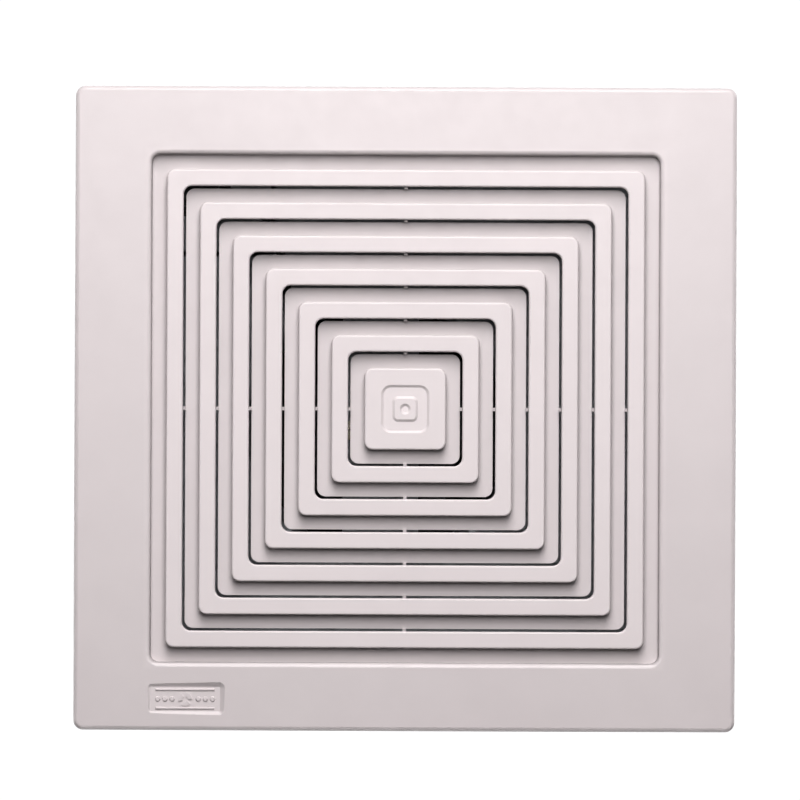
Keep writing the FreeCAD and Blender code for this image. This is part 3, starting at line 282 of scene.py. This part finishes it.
def make_materials():
    return {
        "white_plastic": white_plastic(),
        "zinc_sheet": zinc_sheet(),
        "zinc_screw": plated("zinc_screw", (0.60, 0.58, 0.50), (0.66, 0.56, 0.36)),
        "spring_steel": drawn_wire(),
        "silicon_steel": laminations(),
        "copper": plated("copper", (0.72, 0.30, 0.15), (0.45, 0.17, 0.09)),
        "enamel_wire": winding(),
        "nylon": plastic("nylon", (0.70, 0.67, 0.57), (0.62, 0.58, 0.46)),
        "bracket_zinc": cast_metal("bracket_zinc", (0.50, 0.51, 0.52)),
        "bronze": plated("bronze", (0.45, 0.27, 0.11), (0.30, 0.17, 0.08), 0.4),
        "rotor_metal": cast_metal("rotor_metal", (0.44, 0.44, 0.46)),
        "shaft_steel": plated("shaft_steel", (0.55, 0.56, 0.58), (0.45, 0.46, 0.48), 0.25),
        "wheel_plastic": plastic("wheel_plastic", (0.012, 0.012, 0.013), (0.022, 0.022, 0.024)),
        "duct_plastic": plastic("duct_plastic", (0.014, 0.014, 0.015), (0.024, 0.024, 0.026), 0.45),
        "flap_plastic": plastic("flap_plastic", (0.62, 0.62, 0.58), (0.56, 0.55, 0.50)),
        "black_plastic": plastic("black_plastic", (0.008, 0.008, 0.009), (0.016, 0.016, 0.018), 0.38),
        "grommet_rubber": soft("grommet_rubber", (0.010, 0.010, 0.010), (0.022, 0.021, 0.020)),
        "foam": soft("foam", (0.030, 0.030, 0.031), (0.052, 0.051, 0.050), 0.85),
        "lead_jacket": soft("lead_jacket", (0.012, 0.012, 0.013), (0.020, 0.020, 0.021), 0.55),
        "bushing_metal": cast_metal("bushing_metal", (0.48, 0.49, 0.50)),
    }


def dress_nodes(made):
    """Gives every CAD node the material of its slot in the record."""
    for entry in frame["record"]["subparts"]:
        node = frame["nodes"][entry["node"]]
        node.data.materials.clear()
        node.data.materials.append(made[entry["material_slot"]])


# ---------------------------------------------------------------- room

FLOOR_Z, FLOOR_HALF = -2.6, 30.0
AMBIENT, SEEN_IN_GLOSS, SEEN_BY_CAMERA = 0.02, 0.45, 1.03


def make_room():
    """White all round, as polish and metal see it, but with little light for matt surfaces."""
    world = bpy.data.worlds.new("studio")
    scene.world = world
    world.use_nodes = True
    tree = world.node_tree
    background = tree.nodes["Background"]
    background.inputs["Color"].default_value = (1, 1, 1, 1)
    path = tree.nodes.new("ShaderNodeLightPath")
    total = None
    for ray, extra in (("Is Glossy Ray", SEEN_IN_GLOSS), ("Is Camera Ray", SEEN_BY_CAMERA)):
        add = tree.nodes.new("ShaderNodeMath")
        add.operation = "MULTIPLY_ADD"
        tree.links.new(path.outputs[ray], add.inputs[0])
        add.inputs[1].default_value = extra
        if total:
            tree.links.new(total, add.inputs[2])
        else:
            add.inputs[2].default_value = AMBIENT
        total = add.outputs[0]
    tree.links.new(total, background.inputs["Strength"])

    mesh = bpy.data.meshes.new("floor")
    mesh.from_pydata([(x * FLOOR_HALF, y * FLOOR_HALF, FLOOR_Z)
                      for x, y in ((-1, -1), (1, -1), (1, 1), (-1, 1))], [], [(0, 1, 2, 3)])
    floor = bpy.data.objects.new("floor", mesh)
    scene.collection.objects.link(floor)
    s = Surface("floor_paint", (0.45, 0.45, 0.45), 0.8, Emission_Color=(0.9, 0.89, 0.89, 1),
                Emission_Strength=1.0)
    s.shade(s.noise(3, 2), 0.98, 1.01)
    mesh.materials.append(s.done())
    floor.visible_diffuse = floor.visible_glossy = False


def area_light(name, place, target, size, power, colour=(1, 1, 1)):
    data = bpy.data.lights.new(name, "AREA")
    data.shape = "RECTANGLE"
    data.size, data.size_y = size
    data.energy = power
    data.color = colour
    light = bpy.data.objects.new(name, data)
    light.location = place
    light.rotation_mode = "QUATERNION"
    light.rotation_quaternion = (Vector(target) - Vector(place)).to_track_quat("-Z", "Y")
    scene.collection.objects.link(light)


def make_lights():
    area_light("key", (0.01, -1.08, 0.72), (0, 0, 0), (0.68, 1.5), 25.0, (1.0, 0.975, 0.98))
    # The rest stand behind the grille's face, which the key alone lights.
    area_light("side_left", (-1.5, 0.8, 0.1), (0, 0.03, 0), (1.5, 1.5), 14.0)
    area_light("side_right", (1.5, 0.8, 0.3), (0, 0.03, 0), (1.5, 1.5), 16.0)
    area_light("rear", (-0.5, 2.0, 0.4), (0, 0.05, 0), (1.5, 1.5), 14.0)
    area_light("rear_top", (0.4, 1.7, 1.4), (0, 0.05, 0), (2.6, 2.6), 11.0)
    area_light("underside", (0, 0.3, -1.3), (0, 0.05, 0), (0.9, 0.9), 8.0)


scene.view_settings.view_transform = "Standard"
scene.view_settings.gamma = 0.8
make_camera()
dress_nodes(make_materials())
make_room()
make_lights()
